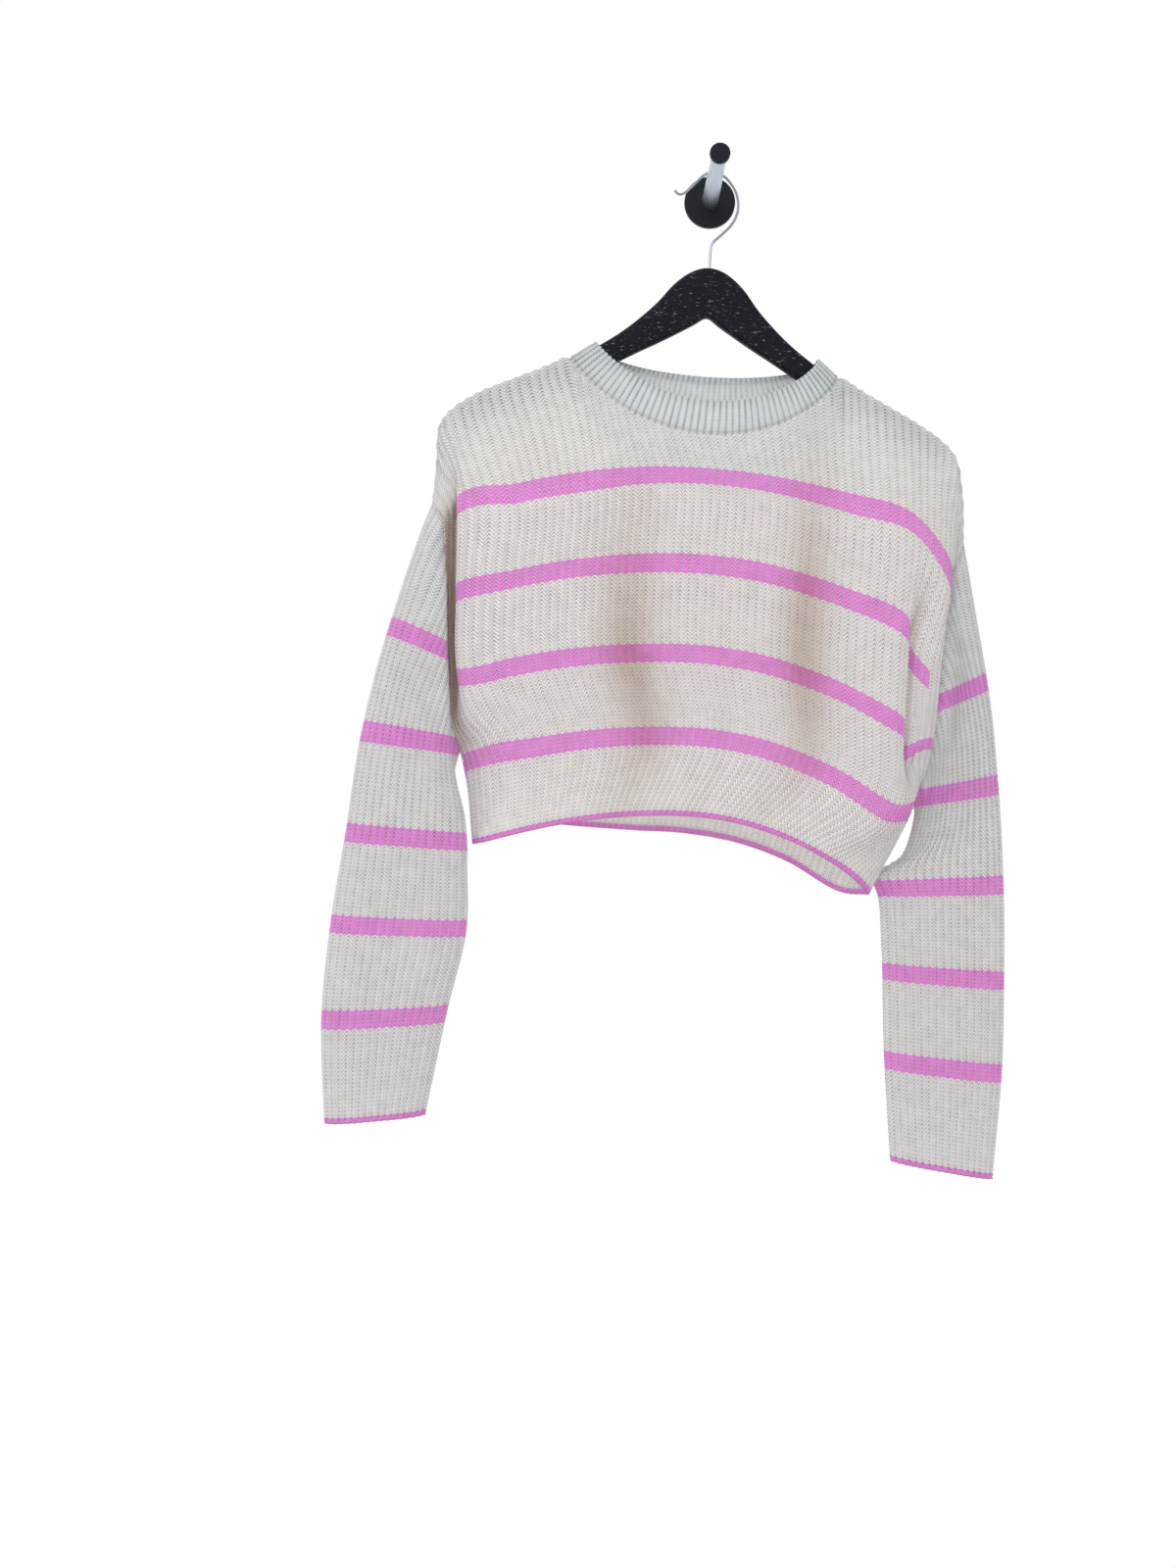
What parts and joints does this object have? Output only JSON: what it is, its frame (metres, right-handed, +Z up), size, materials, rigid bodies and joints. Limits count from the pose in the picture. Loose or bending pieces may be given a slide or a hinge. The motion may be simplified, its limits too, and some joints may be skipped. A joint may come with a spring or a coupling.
{
  "type": "sweater on hanger",
  "caption": "Cropped rib-knit sweater with long sleeves and a rib neckband, hanging open on a flat wooden hanger whose wire hook rests over a round wall peg.",
  "frame": {"origin": "centre of the wall plate's back face, on the wall", "axes": "+Z up, +X to the right as the sweater is seen from the room, +Y into the wall, so the whole part stands at negative Y"},
  "size_m": [0.6093, 0.1249, 0.907],
  "materials": {
    "knit": "matte cream rib knit",
    "wood": "black stain, open grain",
    "wire": "bright",
    "rod": "brushed",
    "plate": "black, matte"
  },
  "bodies": {
    "root": {"front": "knit", "back": "knit", "sleeve_left": "knit", "sleeve_right": "knit", "neckband": "knit", "hanger": "wood", "hanger_hook": "wire", "peg_plate": "plate", "peg_rod": "rod", "peg_cap": "plate"}
  },
  "joints": []
}
